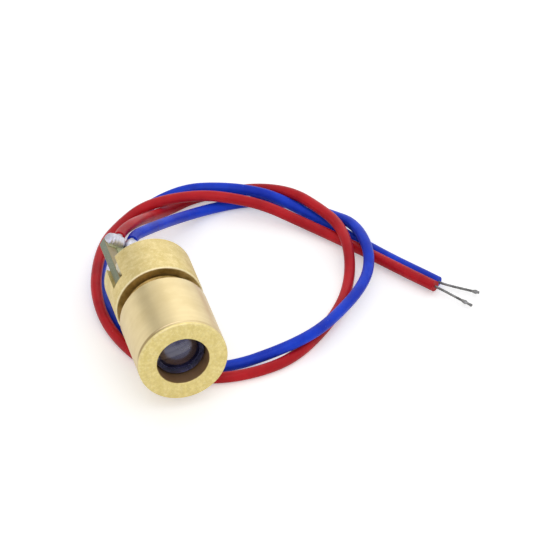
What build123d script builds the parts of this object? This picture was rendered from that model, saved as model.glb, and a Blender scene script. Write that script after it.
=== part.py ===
"""Laser diode module: a brass barrel in two screwed halves, a sprung lens, a driver board and two loose leads.

The optical axis is Y. The front face, where the beam leaves, is at y = 0 and faces -Y, and Z is up.
Depths are measured back from the front face. The barrel lies on its own leads, as it would on a bench.
"""

import os
from math import cos, pi, radians, sin, tan

from build123d import *

# Brass barrel: a front sleeve, a groove that bares the thread, and a slotted rear body
barrel_diameter = 6.0
front_length = 5.4
groove_width = 1.1
rear_length = 3.5
edge_break = 0.1

# Front sleeve: the beam's aperture, the lens shoulder and the plain bore for the nose's thread
aperture_diameter = 3.5
front_wall = 1.6
sleeve_wall = 0.5
bore_lead_in = 0.15

# Rear body: the nose that screws into the sleeve, the diode's bore and the slot for the board
nose_clearance = 0.05
nose_overlap = 1.4
nose_chamfer = 0.2
diode_bore_diameter = 3.2
bore_into_slot = 0.3
slot_width = 1.15
slot_length = 2.3
slot_tilt = 30.0

# Lens: one moulding with a rim, a steep front dome and a shallow back dome
lens_clearance = 0.1
lens_rim_thickness = 0.9
front_dome_clearance = 0.15
front_dome_height = 0.5
back_dome_clearance = 0.25
back_dome_height = 0.3

# Spring between the lens and the nose, with both ends ground flat
spring_wire_diameter = 0.3
spring_clearance = 0.3
spring_turns = 3.25

# Driver board: it lies on the lower wall of the slot, with a tongue that reaches into the diode's bore
board_edge_inset = 0.35
board_thickness = 0.6
board_overhang = 3.3
board_slot_gap = 0.3
tongue_width = 2.3
tongue_length = 0.8
board_corner_radius = 0.25
foil_thickness = 0.035
foil_edge_gap = 0.1
track_width = 0.5
track_bead_gap = 0.25
pad_gap = 0.25
pad_length = 1.0

# Laser diode: a bare chip on a copper block at the tongue's end
heat_sink_width = 1.6
heat_sink_length = 0.8
chip_width = 0.3
chip_length = 0.35
chip_thickness = 0.12
bond_wire_diameter = 0.04
cathode_pad_width = 0.6
cathode_wire_inset = 0.2
heat_sink_solder_width = 0.7
heat_sink_solder_length = 0.2

# Resistor in series with the blue lead
resistor_length = 1.6
resistor_width = 0.8
resistor_height = 0.45
resistor_terminal_length = 0.3
resistor_plating = 0.03
resistor_fillet_length = 0.2
resistor_pad_gap = 0.3

# Beads of adhesive that hold the board in the slot
bead_width = 0.45
bead_length = 1.6
bead_edge_inset = 0.05

# Leads: stranded wire, soldered to the top of the board by stripped ends
lead_diameter = 0.75
lead_gap = 0.05
crossing_gap = 0.115
lead_pitch = 1.0
red_lead_inset = 1.15
lead_exit_height = 0.25
lead_behind_board = 0.15
lead_splay = 25.0
lead_exit_run = 0.9
board_strand_diameter = 0.32
board_strand_length = 0.95
bare_end_diameter = 0.24
bare_end_blob_diameter = 0.34
bare_end_exit_run = 0.55
red_pad_width = 1.25
blue_pad_width = 1.1
solder_height = 0.5
solder_corner_radius = 0.3
solder_top_share = 0.55

# One overrun serves every cut
overrun = 0.5

# Derived places
barrel_radius = barrel_diameter / 2
flange_front = front_length + groove_width
rear_end = flange_front + rear_length
thread_bore_radius = barrel_radius - sleeve_wall
nose_radius = thread_bore_radius - nose_clearance
nose_front = front_length - nose_overlap
slot_front = rear_end - slot_length
lens_back = front_wall + lens_rim_thickness
lens_radius = thread_bore_radius - lens_clearance
front_dome_radius = aperture_diameter / 2 - front_dome_clearance
spring_coil_radius = thread_bore_radius - spring_clearance - spring_wire_diameter / 2
back_dome_radius = spring_coil_radius - spring_wire_diameter / 2 - back_dome_clearance
board_width = barrel_diameter - 2 * board_edge_inset
board_front = slot_front + board_slot_gap
board_rear = rear_end + board_overhang
tongue_front = board_front - tongue_length
board_bottom = -slot_width / 2
board_top = board_bottom + board_thickness
foil_top = board_top + foil_thickness
heat_sink_front = tongue_front - heat_sink_length
heat_sink_top = foil_top - chip_thickness
pad_rear = board_rear - foil_edge_gap
pad_front = pad_rear - pad_length
bead_offset = board_width / 2 - bead_edge_inset - bead_width / 2
track_place = -(bead_offset - bead_width / 2 - track_bead_gap - track_width / 2)
red_lead_place = -(board_width / 2 - red_lead_inset)
blue_lead_place = red_lead_place + lead_pitch
board_strand_setback = board_strand_length * sin(radians(lead_splay))
red_pad_place = red_lead_place - board_strand_setback
blue_pad_place = red_pad_place + (red_pad_width + blue_pad_width) / 2 + pad_gap
resistor_pad_width = resistor_width + foil_edge_gap
resistor_place = blue_pad_place + (blue_pad_width + resistor_pad_width) / 2 + resistor_pad_gap
resistor_rear = pad_rear - resistor_fillet_length - foil_edge_gap
resistor_front = resistor_rear - resistor_length
cathode_pad_place = tongue_width / 2 - foil_edge_gap - cathode_pad_width / 2

# The leads' centre lines: on the floor, under the brass, and one lead higher where one crosses another
lead_floor = -(barrel_radius + lead_gap + lead_diameter / 2)
lead_over = lead_floor + lead_diameter + crossing_gap

# The board's own frame: x runs across the slot towards its low end, y runs back, z stands off the top face
board_frame = Plane.XY.rotated((0, slot_tilt, 0))


def board_point(x, y, height):
    """A point given in the board's own frame."""
    return board_frame.from_local_coords(Vector(x, y, height))


def at_depth(depth):
    """The plane across the optical axis at a depth; its positive side faces the front."""
    return Plane.XZ.offset(-depth)


def span(low, high):
    """The middle and the size of a stretch."""
    return (low + high) / 2, high - low


splay = Vector(sin(radians(lead_splay)), cos(radians(lead_splay)), 0)
exit_direction = board_frame.from_local_coords(splay) - board_frame.from_local_coords(Vector(0, 0, 0))
red_exit = board_point(red_lead_place, board_rear + lead_behind_board, foil_top + lead_exit_height)
blue_exit = board_point(blue_lead_place, board_rear + lead_behind_board, foil_top + lead_exit_height)

# Routes of the leads from the board to their insulation's ends: down to the floor behind the barrel, once round
# clockwise, under the barrel and up its left side, over themselves and away to the right
red_route = [
    red_exit,
    red_exit + exit_direction * lead_exit_run,
    (0.45, 16.0, 0.1),
    (2.2, 19.1, -1.9),
    (4.2, 21.9, -3.35),
    (6.25, 23.0, lead_floor),
    (8.65, 23.2, lead_floor),
    (11.05, 22.5, -3.05),
    (12.85, 20.5, -2.46),
    (14.05, 18.3, -2.46),
    (14.85, 16.0, -2.4),
    (14.8, 13.3, -2.4),
    (14.35, 11.1, -3.2),
    (13.05, 8.3, lead_floor),
    (10.8, 5.4, lead_floor),
    (8.2, 3.05, lead_floor),
    (5.65, 2.15, lead_floor),
    (2.95, 2.05, lead_floor),
    (0.65, 2.9, lead_floor),
    (-1.5, 5.1, lead_floor),
    (-2.7, 8.2, -3.35),
    (-3.15, 10.9, -2.95),
    (-2.8, 14.0, -2.62),
    (-1.35, 17.9, -2.58),
    (0.45, 20.05, -2.5),
    (2.25, 21.05, -2.2),
    (4.35, 21.35, -2.05),
    (6.75, 21.65, -2.35),
    (8.9, 20.9, lead_over),
    (10.7, 19.65, -2.66),
    (12.5, 18.15, -3.15),
    (14.3, 15.85, -3.2),
    (16.27, 13.0, -3.17),
    (18.07, 10.3, -3.17),
    (19.5, 8.25, -3.17),
]
blue_route = [
    blue_exit,
    blue_exit + exit_direction * lead_exit_run,
    (0.95, 15.25, -0.1),
    (2.6, 17.3, -1.2),
    (4.8, 19.8, -2.6),
    (7.05, 21.3, -3.35),
    (9.25, 21.65, lead_floor),
    (11.5, 21.35, lead_floor),
    (13.55, 20.2, lead_floor),
    (15.0, 18.3, -3.2),
    (15.95, 16.1, -2.6),
    (16.05, 12.8, -2.27),
    (15.5, 10.5, -2.65),
    (14.15, 8.28, -2.6),
    (12.4, 6.35, lead_over),
    (10.6, 4.87, -2.5),
    (8.8, 3.9, -2.55),
    (6.8, 3.72, -3.1),
    (4.45, 3.5, lead_floor),
    (2.0, 3.4, lead_floor),
    (-0.2, 4.95, lead_floor),
    (-1.55, 7.5, lead_floor),
    (-2.4, 10.7, lead_floor),
    (-2.58, 14.1, lead_floor),
    (-1.58, 17.3, lead_floor),
    (0.25, 20.3, lead_floor),
    (2.1, 22.3, lead_floor),
    (4.0, 23.3, -3.1),
    (5.9, 23.15, -2.6),
    (7.8, 22.65, lead_over),
    (9.7, 21.9, lead_over),
    (11.4, 20.75, -2.66),
    (13.05, 19.35, -3.2),
    (14.6, 17.4, lead_floor),
    (16.1, 14.85, lead_floor),
    (17.75, 12.2, lead_floor),
    (19.0, 10.45, lead_floor),
    (19.95, 9.05, lead_floor),
]
# Where the bare strands end, past the insulation
red_bare_tip = (21.37, 5.83, lead_floor)
blue_bare_tip = (22.28, 7.15, lead_floor)

os.makedirs("parts", exist_ok=True)


def save(piece, name):
    """Label a finished piece and write its STEP file."""
    piece.label = name
    export_step(piece, f"parts/{name}.step")


# Front sleeve
with BuildPart() as front_barrel:
    with BuildSketch(Plane.XY):
        with BuildLine():
            Polyline(
                (aperture_diameter / 2, 0),
                (barrel_radius, 0),
                (barrel_radius, front_length),
                (thread_bore_radius, front_length),
                (thread_bore_radius, front_wall),
                (aperture_diameter / 2, front_wall),
                close=True,
            )
        make_face()
    revolve(axis=Axis.Y)
    rims = front_barrel.edges().filter_by(GeomType.CIRCLE).sort_by(SortBy.RADIUS)
    fillet(rims[-2:], edge_break)
    mouth = front_barrel.edges().filter_by(GeomType.CIRCLE).sort_by(Axis.Y).group_by(Axis.Y)[-1]
    chamfer(mouth.sort_by(SortBy.RADIUS)[0], bore_lead_in)
save(front_barrel.part, "front_barrel")

# Rear body, turned with its nose and bored from the front, then sawn across for the board
with BuildPart() as rear_body:
    with BuildSketch(Plane.XY):
        with BuildLine():
            Polyline(
                (diode_bore_diameter / 2, nose_front),
                (nose_radius, nose_front),
                (nose_radius, flange_front),
                (barrel_radius, flange_front),
                (barrel_radius, rear_end),
                (0, rear_end),
                (0, slot_front + bore_into_slot),
                (diode_bore_diameter / 2, slot_front + bore_into_slot),
                close=True,
            )
        make_face()
    revolve(axis=Axis.Y)
    rims = rear_body.edges().filter_by(GeomType.CIRCLE).sort_by(SortBy.RADIUS)
    fillet(rims[-2:], edge_break)
    nose_rim = rear_body.edges().filter_by(GeomType.CIRCLE).group_by(Axis.Y)[0]
    chamfer(nose_rim.sort_by(SortBy.RADIUS)[-1], nose_chamfer)
    slot_middle, slot_run = span(slot_front, rear_end + overrun)
    with BuildSketch(board_frame):
        with Locations((0, slot_middle)):
            Rectangle(barrel_diameter + overrun, slot_run)
    extrude(amount=slot_width / 2, both=True, mode=Mode.SUBTRACT)
save(rear_body.part, "rear_body")

# Lens, seated on the sleeve's shoulder
with BuildPart() as collimating_lens:
    with BuildSketch(Plane.XY):
        with BuildLine():
            front_arc = TangentArc(
                (0, front_wall - front_dome_height), (front_dome_radius, front_wall), tangent=(1, 0)
            )
            rim = Polyline(
                front_arc @ 1,
                (lens_radius, front_wall),
                (lens_radius, lens_back),
                (back_dome_radius, lens_back),
            )
            back_arc = TangentArc((0, lens_back + back_dome_height), rim @ 1, tangent=(1, 0))
            Line(back_arc @ 0, front_arc @ 0)
        make_face()
    revolve(axis=Axis.Y)
save(collimating_lens.part, "collimating_lens")

# Spring: the coil runs past both seats and is ground back to them
spring_height = nose_front - lens_back
with BuildPart() as lens_spring:
    with BuildLine() as coil:
        Helix(
            pitch=spring_height / spring_turns,
            height=spring_height,
            radius=spring_coil_radius,
            center=(0, lens_back, 0),
            direction=(0, 1, 0),
        )
    with BuildSketch(Plane(origin=coil.line @ 0, z_dir=coil.line % 0)):
        Circle(spring_wire_diameter / 2)
    sweep(is_frenet=True)
    split(bisect_by=at_depth(lens_back), keep=Keep.BOTTOM)
    split(bisect_by=at_depth(nose_front), keep=Keep.TOP)
save(lens_spring.part, "lens_spring")

# Board with its tongue
board_middle, board_run = span(board_front, board_rear)
tongue_middle, tongue_run = span(tongue_front, board_front + overrun)
with BuildPart() as circuit_board:
    with BuildSketch(board_frame.offset(board_bottom)):
        with Locations((0, board_middle)):
            Rectangle(board_width, board_run)
        with Locations((0, tongue_middle)):
            Rectangle(tongue_width, tongue_run)
    extrude(amount=board_thickness)
    uprights = circuit_board.edges().filter_by(lambda edge: abs((edge % 0).dot(board_frame.z_dir)) > cos(radians(1)))
    fillet(uprights.group_by(Axis.Y)[-1], board_corner_radius)
save(circuit_board.part, "circuit_board")


def foil(name, *fields):
    """One run of copper foil, made of the rectangles that its pads and tracks cover."""
    with BuildPart() as copper:
        with BuildSketch(board_frame.offset(board_top)):
            for low_x, high_x, low_y, high_y in fields:
                middle_x, width = span(low_x, high_x)
                middle_y, length = span(low_y, high_y)
                with Locations((middle_x, middle_y)):
                    Rectangle(width, length)
        extrude(amount=foil_thickness)
    save(copper.part, name)


# Foil from the red pad to the diode's block, from the blue pad to the resistor, and from there to the cathode pad
resistor_pad_low = resistor_place - resistor_pad_width / 2
resistor_pad_high = resistor_place + resistor_pad_width / 2
resistor_pad_length = resistor_terminal_length + resistor_fillet_length + foil_edge_gap
tongue_turn = board_front + foil_edge_gap
block_pad_low = -tongue_width / 2 + foil_edge_gap
block_pad_high = block_pad_low + heat_sink_solder_width
cathode_low = cathode_pad_place - cathode_pad_width / 2
cathode_high = cathode_pad_place + cathode_pad_width / 2
cathode_front = tongue_front + foil_edge_gap
foil(
    "positive_track",
    (red_pad_place - red_pad_width / 2, red_pad_place + red_pad_width / 2, pad_front, pad_rear),
    (track_place - track_width / 2, track_place + track_width / 2, tongue_turn, pad_front),
    (track_place - track_width / 2, block_pad_high, tongue_turn, tongue_turn + track_width),
    (block_pad_low, block_pad_high, tongue_front, tongue_turn),
)
foil(
    "supply_track",
    (blue_pad_place - blue_pad_width / 2, blue_pad_place + blue_pad_width / 2, pad_front, pad_rear),
    (blue_pad_place, resistor_place, pad_rear - track_width, pad_rear),
    (resistor_pad_low, resistor_pad_high, pad_rear - resistor_pad_length, pad_rear),
)
foil(
    "cathode_track",
    (
        resistor_pad_low,
        resistor_pad_high,
        resistor_front - resistor_fillet_length - foil_edge_gap,
        resistor_front + resistor_terminal_length,
    ),
    (resistor_place - track_width / 2, resistor_place + track_width / 2, tongue_turn, resistor_front),
    (cathode_low, resistor_place + track_width / 2, tongue_turn, tongue_turn + track_width),
    (cathode_low, cathode_high, cathode_front, tongue_turn),
)

# Copper block against the tongue's end, with the chip level with the optical axis
block_middle, block_run = span(heat_sink_front, tongue_front)
with BuildPart() as diode_heat_sink:
    with BuildSketch(board_frame.offset(board_bottom)):
        with Locations((0, block_middle)):
            Rectangle(heat_sink_width, block_run)
    extrude(amount=heat_sink_top - board_bottom)
save(diode_heat_sink.part, "diode_heat_sink")

with BuildPart() as laser_chip:
    with BuildSketch(board_frame.offset(heat_sink_top)):
        with Locations((0, heat_sink_front + chip_length / 2)):
            Rectangle(chip_width, chip_length)
    extrude(amount=chip_thickness)
save(laser_chip.part, "laser_chip")

# Solder that joins the block to the end of the positive track
with BuildPart() as heat_sink_solder:
    with BuildSketch(board_frame.offset(heat_sink_top)):
        with Locations(((block_pad_low + block_pad_high) / 2, tongue_front - heat_sink_solder_length / 2)):
            Rectangle(heat_sink_solder_width, heat_sink_solder_length)
    extrude(amount=foil_top - heat_sink_top)
save(heat_sink_solder.part, "heat_sink_solder")

# Bond wire: half a circle, upright on the chip at one end and on the cathode pad at the other
wire_start = board_point(0, heat_sink_front + chip_length / 2, foil_top)
wire_end = board_point(cathode_pad_place, cathode_front + cathode_wire_inset, foil_top)
wire_span = wire_end - wire_start
wire_plane = Plane(origin=wire_start, x_dir=wire_span, z_dir=wire_span.cross(board_frame.z_dir))
with BuildPart() as bond_wire:
    with BuildLine(wire_plane) as loop:
        CenterArc((wire_span.length / 2, 0), wire_span.length / 2, 180, -180)
    with BuildSketch(Plane(origin=loop.line @ 0, z_dir=loop.line % 0)):
        Circle(bond_wire_diameter / 2)
    sweep()
save(bond_wire.part, "bond_wire")

# Resistor: a ceramic chip with a plated cap and a solder fillet at each end
resistor_middle = (resistor_front + resistor_rear) / 2
with BuildPart() as drive_resistor:
    with BuildSketch(board_frame.offset(foil_top + resistor_plating)):
        with Locations((resistor_place, resistor_middle)):
            Rectangle(resistor_width - 2 * resistor_plating, resistor_length - 2 * resistor_plating)
    extrude(amount=resistor_height - 2 * resistor_plating)
save(drive_resistor.part, "drive_resistor")

for end, outer, inward in (("front", resistor_front, 1), ("rear", resistor_rear, -1)):
    with BuildPart() as terminal:
        with BuildSketch(board_frame.offset(foil_top)):
            with Locations((resistor_place, outer + inward * resistor_terminal_length / 2)):
                Rectangle(resistor_width, resistor_terminal_length)
        extrude(amount=resistor_height)
        add(drive_resistor.part, mode=Mode.SUBTRACT)
    save(terminal.part, f"resistor_{end}_terminal")

    side = Plane(
        origin=board_point(resistor_place, outer, foil_top),
        x_dir=board_frame.y_dir * -inward,
        z_dir=board_frame.x_dir * -inward,
    )
    with BuildPart() as joint:
        with BuildSketch(side):
            with BuildLine():
                foot = Line((0, 0), (resistor_fillet_length, 0))
                rise = Line(foot @ 0, (0, resistor_height - resistor_plating))
                RadiusArc(foot @ 1, rise @ 1, resistor_height)
            make_face()
        extrude(amount=resistor_width / 2, both=True)
    save(joint.part, f"resistor_{end}_solder")

# Beads of adhesive between the board's top and the slot's upper wall, one near each edge
bead_middle = rear_end - bead_edge_inset - bead_length / 2
for side_name, side_sign in (("left", -1), ("right", 1)):
    with BuildPart() as bead:
        with BuildSketch(board_frame.offset(board_top)):
            with Locations((side_sign * bead_offset, bead_middle)):
                RectangleRounded(bead_width, bead_length, bead_width / 3)
        extrude(amount=slot_width / 2 - board_top)
    save(bead.part, f"{side_name}_adhesive_bead")


def rounded_radii(route):
    """Each corner's radius: 0.45 of its shorter run, divided by the tangent of half the turn."""
    places = [Vector(*place) for place in route]
    runs = [after - before for before, after in zip(places, places[1:])]
    return [
        0.45 * min(before.length, after.length) / tan(radians(before.get_angle(after)) / 2)
        for before, after in zip(runs, runs[1:])
    ]


def make_lead(name, route):
    """The insulated length of one lead, as one plain tube."""
    radii = rounded_radii(route)
    with BuildPart() as lead:
        with BuildLine() as path:
            FilletPolyline(*route, radius=radii)
        with BuildSketch(Plane(origin=path.line @ 0, z_dir=path.line % 0)):
            Circle(lead_diameter / 2)
        sweep()
    save(lead.part, name)
    length = path.wire().length
    section = pi * (lead_diameter / 2) ** 2
    print(name, "length", round(length, 2), "radii", [round(radius, 1) for radius in radii])
    print(name, "volume over section times length", round(lead.part.volume / (section * length), 5))


def make_board_strand(name, exit_place):
    """The stripped end that lies in the solder."""
    with BuildPart() as strand:
        with BuildSketch(Plane(origin=exit_place, z_dir=exit_direction * -1)):
            Circle(board_strand_diameter / 2)
        extrude(amount=board_strand_length)
    save(strand.part, name)
    return strand.part


def make_solder(name, place, width, strand):
    """A mound of solder over a pad and the stripped end on it."""
    length = pad_length - foil_edge_gap
    with BuildPart() as mound:
        with BuildSketch(board_frame.offset(foil_top)):
            with Locations((place, (pad_front + pad_rear) / 2)):
                RectangleRounded(width - foil_edge_gap, length, solder_corner_radius)
        with BuildSketch(board_frame.offset(foil_top + solder_height)):
            with Locations((place, (pad_front + pad_rear) / 2)):
                RectangleRounded(
                    (width - foil_edge_gap) * solder_top_share,
                    length * solder_top_share,
                    solder_corner_radius * solder_top_share,
                )
        loft()
        add(strand, mode=Mode.SUBTRACT)
    save(mound.part, name)


def make_bare_end(name, route, tip):
    """The twisted and tinned strands past the insulation, with a small blob of solder at their end."""
    start = Vector(*route[-1])
    heading = (start - Vector(*route[-2])).normalized()
    bend = start + heading * bare_end_exit_run
    corner = rounded_radii([start, bend, tip])
    with BuildPart() as bare:
        with BuildLine() as path:
            FilletPolyline(start, bend, tip, radius=corner)
        with BuildSketch(Plane(origin=start, z_dir=heading)):
            Circle(bare_end_diameter / 2)
        sweep()
        with Locations(path.line @ 1):
            Sphere(bare_end_blob_diameter / 2)
    save(bare.part, name)
    print(name, "length", round(path.wire().length, 2))


for colour, route, exit_place, tip, pad_place, pad_width in (
    ("red", red_route, red_exit, red_bare_tip, red_pad_place, red_pad_width),
    ("blue", blue_route, blue_exit, blue_bare_tip, blue_pad_place, blue_pad_width),
):
    make_lead(f"{colour}_lead", route)
    strand = make_board_strand(f"{colour}_board_strand", exit_place)
    make_solder(f"{colour}_solder", pad_place, pad_width, strand)
    make_bare_end(f"{colour}_bare_end", route, tip)
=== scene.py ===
"""The looks of a small laser diode module: turned brass, a lens, a board and two soft leads.

The barrel's axis is Y and its front faces -Y. Depths are measured back from the front face.
Pieces are shaped in millimetres and come down to metres, the frame's unit, when they are settled.
"""

import math

import bmesh
import bpy
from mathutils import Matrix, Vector


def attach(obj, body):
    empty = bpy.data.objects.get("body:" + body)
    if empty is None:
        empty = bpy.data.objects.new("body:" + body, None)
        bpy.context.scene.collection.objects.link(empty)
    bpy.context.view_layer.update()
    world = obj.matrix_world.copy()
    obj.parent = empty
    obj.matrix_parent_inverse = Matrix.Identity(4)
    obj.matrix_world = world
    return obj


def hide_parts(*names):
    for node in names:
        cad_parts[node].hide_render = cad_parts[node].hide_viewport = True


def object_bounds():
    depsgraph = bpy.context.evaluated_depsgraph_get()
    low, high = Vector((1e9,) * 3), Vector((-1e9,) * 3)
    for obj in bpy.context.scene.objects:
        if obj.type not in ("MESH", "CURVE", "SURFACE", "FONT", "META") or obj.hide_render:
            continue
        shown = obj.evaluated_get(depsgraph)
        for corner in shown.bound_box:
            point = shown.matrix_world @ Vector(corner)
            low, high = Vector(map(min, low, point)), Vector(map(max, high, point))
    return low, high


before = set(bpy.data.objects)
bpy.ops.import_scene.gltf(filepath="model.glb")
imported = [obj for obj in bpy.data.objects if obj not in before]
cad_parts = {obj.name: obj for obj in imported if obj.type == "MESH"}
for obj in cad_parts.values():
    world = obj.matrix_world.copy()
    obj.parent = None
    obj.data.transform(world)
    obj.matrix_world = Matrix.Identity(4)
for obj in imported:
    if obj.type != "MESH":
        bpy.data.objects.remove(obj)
cad_low, cad_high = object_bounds()

MM = 0.001

# Brass barrel, in millimetres
barrel_radius = 3.0
sleeve_length = 5.4
flange_front = 6.5
rear_end = 10.0
edge_round = 0.1
ring_edge_round = 0.15
aperture_radius = 1.75
aperture_round = 0.06
front_wall = 1.6
sleeve_bore = 2.5
nose_front = 4.0
nose_core = 2.27
thread_crest = 2.45
thread_root = 2.24
thread_pitch = 0.35
diode_bore = 1.6
bore_end = 8.0
slot_front = 7.7
slot_width = 1.15
slot_tilt = math.radians(30)
turned_facets = 192

# Lens
lens_radius = 2.4
lens_back = 2.5
lens_edge_break = 0.08
front_dome_radius = 1.42
front_dome_height = 0.45
front_dome_foot = front_wall - 0.3
collar_radius = 1.7
collar_height = 0.6
back_dome_radius = 1.65
back_dome_height = 0.3

# Board and what lies on it, in the slot's own tilted frame
board_half_width = 2.65
board_front = 8.0
board_rear = 13.3
board_bottom = -0.575
board_top = 0.025
board_corner = 0.25
board_edge_break = 0.02
tongue_half_width = 1.15
tongue_front = 7.2
foil_top = 0.06
pad_middle = 12.91
glaze_height = 0.36
bead_place = 2.375
bead_middle_height = 0.12

# Leads
lead_diameter = 0.75
lead_gap = 0.05
crossing_gap = 0.115
lead_floor = -(barrel_radius + lead_gap + lead_diameter / 2)
lead_over = lead_floor + lead_diameter + crossing_gap

# Strands of a bare end: six twisted round a straight one
outer_strands = 6
strand_radius = 0.03
strand_pitch = 1.1
fray_start = 0.9

red_route = [
    (-1.144, 13.45, 1.0185),
    (-0.8146, 14.2657, 0.8283),
    (0.47, 16.1, 0.1),
    (2.23, 19.31, -1.9),
    (4.2, 21.92, -3.4),
    (6.25, 23.0, lead_floor),
    (8.65, 23.2, lead_floor),
    (11.05, 22.5, -3.05),
    (12.85, 20.5, -2.46),
    (14.05, 18.3, -2.46),
    (14.85, 16.0, -2.4),
    (14.8, 13.3, -2.4),
    (14.35, 11.1, -3.2),
    (13.05, 8.3, lead_floor),
    (10.8, 5.4, lead_floor),
    (8.2, 3.05, lead_floor),
    (5.65, 2.15, lead_floor),
    (2.95, 2.05, lead_floor),
    (0.65, 2.9, lead_floor),
    (-1.5, 5.1, lead_floor),
    (-2.7, 8.2, -3.35),
    (-3.15, 10.9, -2.95),
    (-2.8, 14.0, -2.62),
    (-1.35, 17.9, -2.58),
    (0.46, 19.91, -2.5),
    (2.23, 20.98, -2.12),
    (4.35, 21.35, -2.05),
    (6.75, 21.65, -2.35),
    (8.9, 20.9, lead_over),
    (10.7, 19.65, -2.66),
    (12.5, 18.15, -3.15),
    (14.3, 15.85, -3.2),
    (16.27, 13.0, -3.17),
    (18.07, 10.3, -3.17),
    (19.5, 8.25, -3.17),
]
blue_route = [
    (-0.278, 13.45, 0.5185),
    (0.0514, 14.2657, 0.3283),
    (0.95, 15.25, -0.1),
    (2.6, 17.3, -1.2),
    (4.8, 19.8, -2.6),
    (7.05, 21.3, -3.35),
    (9.25, 21.65, lead_floor),
    (11.5, 21.35, lead_floor),
    (13.5, 20.12, lead_floor),
    (14.93, 18.24, -3.2),
    (15.95, 16.1, -2.6),
    (16.05, 12.8, -2.27),
    (15.5, 10.5, -2.65),
    (14.15, 8.28, -2.6),
    (12.4, 6.35, lead_over),
    (10.6, 4.66, -2.5),
    (8.8, 3.62, -2.52),
    (6.8, 3.4, -3.0),
    (4.45, 3.26, lead_floor),
    (2.0, 3.4, lead_floor),
    (-0.2, 4.95, lead_floor),
    (-1.55, 7.5, lead_floor),
    (-2.4, 10.7, lead_floor),
    (-2.58, 14.1, lead_floor),
    (-1.58, 17.3, lead_floor),
    (0.25, 20.3, lead_floor),
    (2.07, 22.08, lead_floor),
    (3.96, 23.01, -3.1),
    (5.9, 23.03, -2.6),
    (7.8, 22.65, lead_over),
    (9.7, 21.9, lead_over),
    (11.4, 20.82, -2.66),
    (13.05, 19.44, -3.2),
    (14.6, 17.4, lead_floor),
    (16.1, 14.85, lead_floor),
    (17.75, 12.2, lead_floor),
    (19.0, 10.45, lead_floor),
    (19.95, 9.05, lead_floor),
]
# Bare ends: out of the insulation, a slight bend, and the tip
red_end_line = [(19.5, 8.25, -3.17), (19.815, 7.8, -3.17), (21.37, 5.83, lead_floor)]
blue_end_line = [(19.95, 9.05, lead_floor), (20.26, 8.6, lead_floor), (22.28, 7.15, lead_floor)]

# Camera: where the photograph was taken from
photo_pixels = 533
focal_pixels = 4617
sensor_width = 36
camera_distance = 300 * MM
camera_azimuth = math.radians(-14.5)
camera_elevation = math.radians(35.2)
centre_right = -5.405 * MM
centre_up = -6.17 * MM

# Room, in metres
floor_size = 1.2
floor_camera_glow = 0.36
floor_mirror_glow = 0.22
gap_direction = (-0.33, 0.79, 0.51)
violet_direction = (-0.2, -0.79, 0.58)
plain_sky_strength = 0.6
lamps = {
    "rear_softbox": {"place": (0.09, 0.2, 0.3), "size": 0.6, "energy": 0.36},
    "front_softbox": {"place": (-0.02, -0.22, 0.32), "size": 0.3, "energy": 0.32},
}


def make_camera():
    """The photograph's view: turned to the left of the front, and looking down."""
    level = math.cos(camera_elevation)
    ahead = math.cos(camera_azimuth)
    aside = math.sin(camera_azimuth)
    back = Vector((aside * level, -ahead * level, math.sin(camera_elevation)))
    right = Vector((ahead, aside, 0))
    up = back.cross(right)
    place = back * camera_distance - right * centre_right - up * centre_up
    bpy.ops.object.camera_add(location=place)
    camera = bpy.context.object
    camera.name = "camera"
    camera.rotation_euler = (-back).to_track_quat("-Z", "Y").to_euler()
    camera.data.sensor_width = sensor_width
    camera.data.lens = sensor_width * focal_pixels / photo_pixels
    camera.data.clip_start = camera_distance / 10
    camera.data.clip_end = camera_distance * 20
    bpy.context.scene.camera = camera


def deselect():
    """Leave nothing selected."""
    if bpy.context.object and bpy.context.object.mode != "OBJECT":
        bpy.ops.object.mode_set(mode="OBJECT")
    bpy.ops.object.select_all(action="DESELECT")


def hold(piece):
    """Make a piece the one that the next tools work on."""
    deselect()
    piece.select_set(True)
    bpy.context.view_layer.objects.active = piece


def pick(piece, kind, test):
    """In edit mode, select the faces, edges or vertices whose middle passes a test."""
    bpy.ops.mesh.select_mode(type=kind)
    bpy.ops.mesh.select_all(action="DESELECT")
    mesh = bmesh.from_edit_mesh(piece.data)
    items = {"FACE": mesh.faces, "EDGE": mesh.edges, "VERT": mesh.verts}[kind]
    for item in items:
        if kind == "VERT":
            middle = item.co
        else:
            middle = sum((corner.co for corner in item.verts), Vector()) / len(item.verts)
        if test(middle, item):
            item.select_set(True)
    mesh.select_flush_mode()
    bmesh.update_edit_mesh(piece.data)


def apply_place():
    """Work the held piece's place, turn and scale into its mesh."""
    bpy.ops.object.transform_apply(location=True, rotation=True, scale=True)


def block(place, size, tilt=0.0):
    """A box about a place, turned about the optical axis."""
    deselect()
    bpy.ops.mesh.primitive_cube_add(size=1, location=place)
    box = bpy.context.object
    box.scale = size
    box.rotation_euler = (0, tilt, 0)
    apply_place()
    return box


def finish_with(piece, kind, **choices):
    """Give a piece one modifier and apply it."""
    hold(piece)
    bpy.ops.object.modifier_add(type=kind)
    modifier = piece.modifiers[-1]
    for choice, value in choices.items():
        setattr(modifier, choice, value)
    bpy.ops.object.modifier_apply(modifier=modifier.name)


def join(pieces):
    """Make one mesh of several."""
    hold(pieces[0])
    for piece in pieces:
        piece.select_set(True)
    bpy.ops.object.join()
    return bpy.context.object


def settle(piece, name, material, node, smooth_angle=30, tilted=False):
    """Bring a shaped piece to its place in metres, attach it to the root body and hide its CAD node.
    """
    hold(piece)
    piece.name = name
    piece.data.name = name
    if tilted:
        piece.rotation_euler = (0, slot_tilt, 0)
        apply_place()
    piece.location = piece.location * MM
    piece.scale = piece.scale * MM
    apply_place()
    bpy.ops.object.shade_smooth_by_angle(angle=math.radians(smooth_angle))
    piece.data.materials.clear()
    piece.data.materials.append(material)
    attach(piece, "root")
    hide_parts(node)
    return piece


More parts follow.
